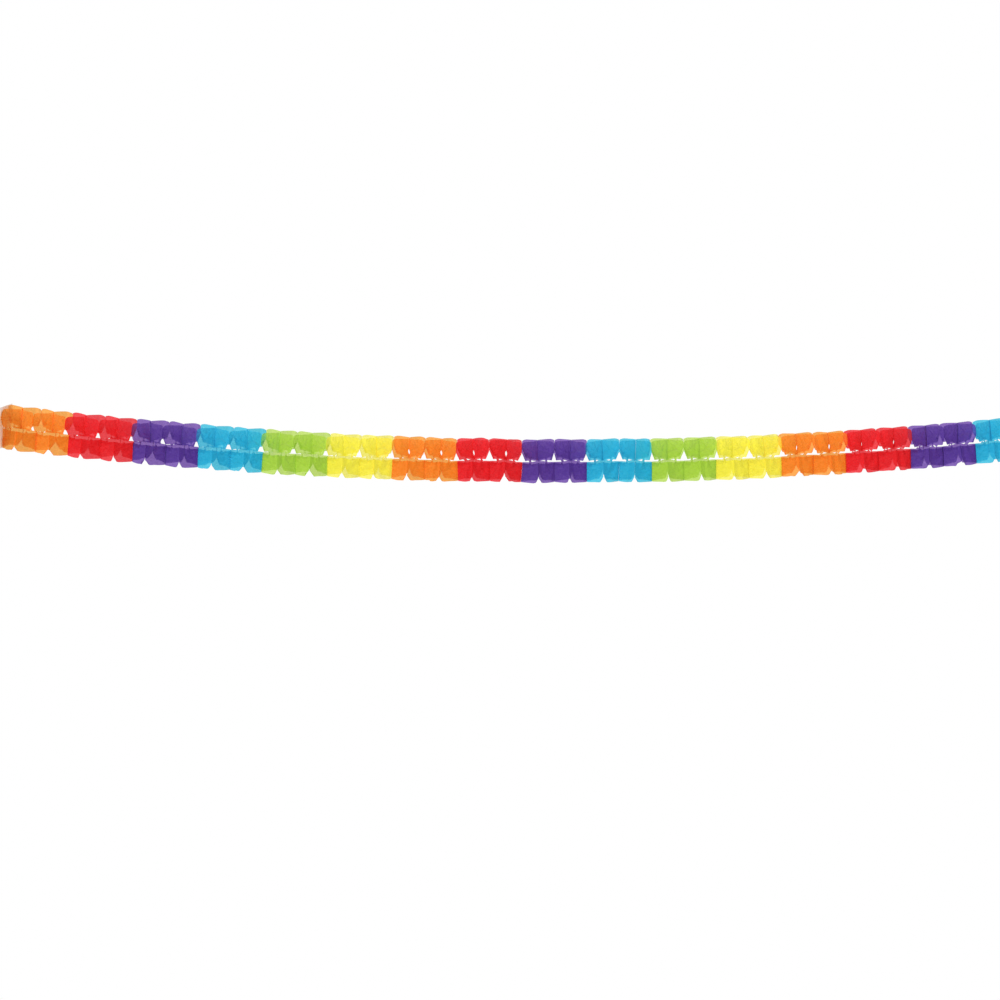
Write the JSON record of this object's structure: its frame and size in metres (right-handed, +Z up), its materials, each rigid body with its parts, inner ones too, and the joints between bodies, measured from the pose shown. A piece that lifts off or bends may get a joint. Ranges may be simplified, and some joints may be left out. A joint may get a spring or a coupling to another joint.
{
  "type": "paper garland",
  "caption": "Hanging garland of slotted tissue leaves, glued by turns in the middle and along the front and back edges, drawn out into a two-walled honeycomb chain in bands of colour between two stiff end cards.",
  "frame": {"origin": "centre of the hang hole in the left end card", "axes": "+X along the garland towards its right end, +Y away from the viewer, +Z up"},
  "size_m": [2.0807, 0.104, 0.1534],
  "materials": {
    "tissue_orange": "dyed tissue paper, thin enough to glow where light comes through",
    "tissue_red": "dyed tissue paper, thin enough to glow where light comes through",
    "tissue_purple": "dyed tissue paper, thin enough to glow where light comes through",
    "tissue_blue": "dyed tissue paper, thin enough to glow where light comes through",
    "tissue_green": "dyed tissue paper, thin enough to glow where light comes through",
    "tissue_yellow": "dyed tissue paper, thin enough to glow where light comes through",
    "end_board": "uncoated pale board"
  },
  "bodies": {
    "root": {"leaf_pair_01_orange": "tissue_orange", "leaf_pair_02_orange": "tissue_orange", "leaf_pair_03_red": "tissue_red", "leaf_pair_04_red": "tissue_red", "leaf_pair_05_purple": "tissue_purple", "leaf_pair_06_purple": "tissue_purple", "leaf_pair_07_blue": "tissue_blue", "leaf_pair_08_blue": "tissue_blue", "leaf_pair_09_green": "tissue_green", "leaf_pair_10_green": "tissue_green", "leaf_pair_11_yellow": "tissue_yellow", "leaf_pair_12_yellow": "tissue_yellow", "leaf_pair_13_orange": "tissue_orange", "leaf_pair_14_orange": "tissue_orange", "leaf_pair_15_red": "tissue_red", "leaf_pair_16_red": "tissue_red", "leaf_pair_17_purple": "tissue_purple", "leaf_pair_18_purple": "tissue_purple", "leaf_pair_19_blue": "tissue_blue", "leaf_pair_20_blue": "tissue_blue", "leaf_pair_21_green": "tissue_green", "leaf_pair_22_green": "tissue_green", "leaf_pair_23_yellow": "tissue_yellow", "leaf_pair_24_yellow": "tissue_yellow", "leaf_pair_25_orange": "tissue_orange", "leaf_pair_26_orange": "tissue_orange", "leaf_pair_27_red": "tissue_red", "leaf_pair_28_red": "tissue_red", "leaf_pair_29_purple": "tissue_purple", "leaf_pair_30_purple": "tissue_purple", "leaf_pair_31_blue": "tissue_blue", "leaf_pair_32_blue": "tissue_blue", "end_card_left": "end_board", "end_card_right": "end_board"}
  },
  "joints": []
}
